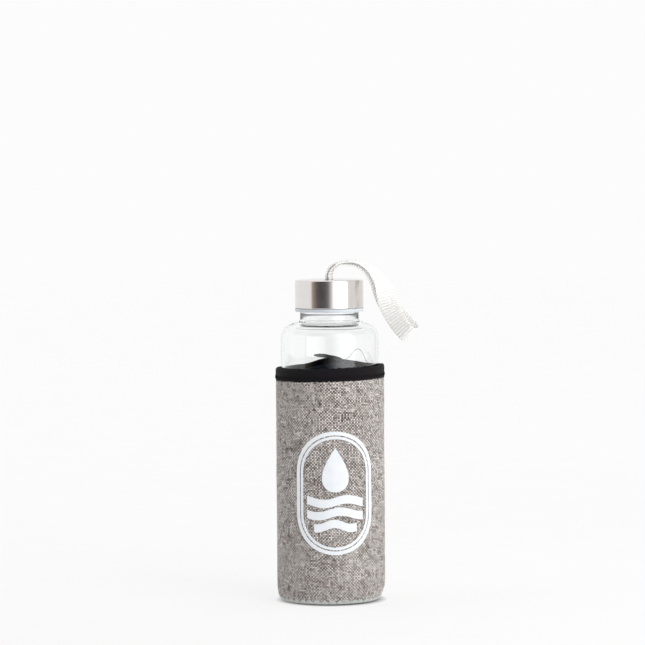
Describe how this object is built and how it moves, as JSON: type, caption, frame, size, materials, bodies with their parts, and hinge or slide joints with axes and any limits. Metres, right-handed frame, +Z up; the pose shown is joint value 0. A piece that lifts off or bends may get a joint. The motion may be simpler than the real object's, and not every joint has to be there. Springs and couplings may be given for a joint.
{
  "type": "glass water bottle",
  "caption": "Clear glass water bottle with a steel-clad screw cap, a white webbing carrying strap and a grey woven neoprene sleeve with black binding.",
  "frame": {"origin": "centre of the glass base, on the surface that the bottle stands on", "axes": "+Z up along the bottle; the strap leans to +X; the printed badge faces -Y and the sleeve's seam +Y"},
  "size_m": [0.096, 0.0748, 0.2285],
  "materials": {
    "glass": "clear, polished",
    "steel": "brushed round the cap",
    "liner": "satin",
    "silicone": "matte, translucent",
    "webbing": "ribbed polyester webbing",
    "neoprene": "jersey-faced neoprene",
    "linen": "plain weave, grey melange",
    "binding": "knitted binding tape",
    "thread": "overlock thread",
    "print": "heat-transfer film"
  },
  "bodies": {
    "sleeve": {"sleeve_lining": "neoprene", "sleeve_fabric": "linen", "sleeve_binding": "binding", "binding_tail": "binding", "binding_stitches": "binding", "loose_thread": "thread", "hem_overlock": "thread", "back_seam_thread": "thread", "front_print": "print"},
    "bottle": {"glass_bottle": "glass"},
    "gasket": {"cap_gasket": "silicone"},
    "cap": {"cap_shell": "steel", "cap_liner": "liner", "strap_pin": "steel", "strap_root": "webbing"},
    "strap": {"strap_loop": "webbing"}
  },
  "joints": [
    {"name": "bottle_lift", "type": "slide", "parent": "sleeve", "child": "bottle", "axis": [0, 0, 1], "range_m": [0, 0.17]},
    {"name": "cap_lift", "type": "slide", "parent": "bottle", "child": "gasket", "axis": [0, 0, 1], "range_m": [0, 0.027]},
    {"name": "cap_turn", "type": "hinge", "parent": "gasket", "child": "cap", "pos_m": [0, 0, 0.2], "axis": [0, 0, 1], "range_deg": [0, 2160]},
    {"name": "strap_swing", "type": "hinge", "parent": "cap", "child": "strap", "pos_m": [0, 0, 0.218], "axis": [-0.2924, -0.9563, 0], "range_deg": [0, 110]}
  ],
  "couplings": [
    {"joint": "cap_lift", "follows": "cap_turn", "m_per_rad": 0.00071619}
  ]
}
